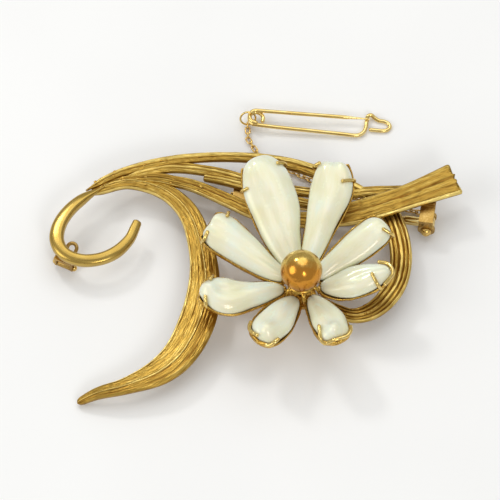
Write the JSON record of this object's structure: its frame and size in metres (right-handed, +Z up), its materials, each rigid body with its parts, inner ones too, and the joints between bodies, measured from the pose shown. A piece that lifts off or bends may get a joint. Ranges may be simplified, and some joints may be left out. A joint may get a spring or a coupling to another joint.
{
  "type": "flower spray brooch",
  "caption": "Flower spray brooch: pearl petals in wire claws round a gold bead, bark-textured stems and leaves, pin and turning catch, folding loop, chain with safety pin.",
  "frame": {"origin": "on the surface that the brooch lies on, under the middle of the whole assembly's box, safety pin included", "axes": "+X along the spray towards the flared leaf, +Y towards the safety pin, +Z up out of the brooch's face"},
  "size_m": [0.0618, 0.0498, 0.015],
  "materials": {
    "bark_gold": "fine bark texture cut along each strand, worn bright on its ridges",
    "satin_gold": "satin top with polished edges",
    "pearl": "polished mother-of-pearl with a soft cool sheen",
    "polished_gold": "polished, with fine scratches",
    "setting_gold": "polished wire, dull where solder flowed",
    "fitting_gold": "worn satin",
    "chain_gold": "bright fine wire",
    "pin_gold": "bright drawn wire"
  },
  "bodies": {
    "brooch": {"curl_stem": "satin_gold", "long_leaf": "bark_gold", "top_stem": "bark_gold", "second_stem": "bark_gold", "short_stem": "bark_gold", "flare_leaf": "bark_gold", "loop_leaf": "bark_gold", "pearl_1": "pearl", "pearl_2": "pearl", "pearl_3": "pearl", "pearl_4": "pearl", "pearl_5": "pearl", "pearl_6": "pearl", "pearl_7": "pearl", "pearl_8": "pearl", "cup_1": "setting_gold", "cup_2": "setting_gold", "cup_3": "setting_gold", "cup_4": "setting_gold", "cup_5": "setting_gold", "cup_6": "setting_gold", "cup_7": "setting_gold", "cup_8": "setting_gold", "claws_1": "setting_gold", "claws_2": "setting_gold", "claws_3": "setting_gold", "claws_4": "setting_gold", "claws_5": "setting_gold", "claws_6": "setting_gold", "claws_7": "setting_gold", "claws_8": "setting_gold", "flower_base": "setting_gold", "bead_post": "setting_gold", "centre_bead": "polished_gold", "petal_rests": "setting_gold", "hinge_base": "fitting_gold", "hinge_rivet": "fitting_gold", "catch_body": "fitting_gold", "bail_base": "fitting_gold", "bail_pin": "fitting_gold", "chain_eye": "chain_gold"},
    "pin": {"pin_stem": "pin_gold"},
    "sleeve": {"catch_sleeve": "fitting_gold"},
    "bail": {"bail_loop": "fitting_gold"},
    "chain_a": {"chain_near": "chain_gold"},
    "chain_b": {"chain_middle": "chain_gold"},
    "chain_c": {"chain_far": "chain_gold"},
    "chain_d": {"chain_end": "chain_gold"},
    "safety_pin": {"jump_ring": "pin_gold", "safety_pin_body": "pin_gold"},
    "safety_arm": {"safety_pin_arm": "pin_gold"}
  },
  "joints": [
    {"name": "pin_open", "type": "hinge", "parent": "brooch", "child": "pin", "pos_m": [0.02567, 0.00542, 0.0016], "axis": [-0.1392, -0.9903, 0], "range_deg": [0, 100]},
    {"name": "catch_turn", "type": "hinge", "parent": "brooch", "child": "sleeve", "pos_m": [-0.00245, 0.00937, 0.0016], "axis": [0.9903, -0.1392, 0], "range_deg": [0, 120]},
    {"name": "bail_fold", "type": "hinge", "parent": "brooch", "child": "bail", "pos_m": [-0.02863, -0.00138, 0.001], "axis": [0.9063, -0.4226, 0], "range_deg": [-140, 0]},
    {"name": "chain_swing", "type": "hinge", "parent": "brooch", "child": "chain_a", "pos_m": [0.02594, 0.00735, 0.0005], "axis": [0, 0, 1], "range_deg": [-50, 0]},
    {"name": "chain_bend_1", "type": "hinge", "parent": "chain_a", "child": "chain_b", "pos_m": [0.01265, 0.01091, 0.0005], "axis": [0, 0, 1], "range_deg": [-15, 15]},
    {"name": "chain_bend_2", "type": "hinge", "parent": "chain_b", "child": "chain_c", "pos_m": [0.0005, 0.01737, 0.0005], "axis": [0, 0, 1], "range_deg": [-10, 25]},
    {"name": "chain_bend_3", "type": "hinge", "parent": "chain_c", "child": "chain_d", "pos_m": [-0.00122, 0.02035, 0.0005], "axis": [0, 0, 1], "range_deg": [-10, 25]},
    {"name": "safety_swing", "type": "hinge", "parent": "chain_d", "child": "safety_pin", "pos_m": [-0.00128, 0.023, 0.00048], "axis": [0, 0, 1], "range_deg": [-10, 40]},
    {"name": "safety_arm_flex", "type": "hinge", "parent": "safety_pin", "child": "safety_arm", "pos_m": [0.00002, 0.02352, 0.0012], "axis": [0.0452, -0.0034, 0.999], "range_deg": [-10, 0], "stiffness_Nm_per_rad": 0.002}
  ]
}
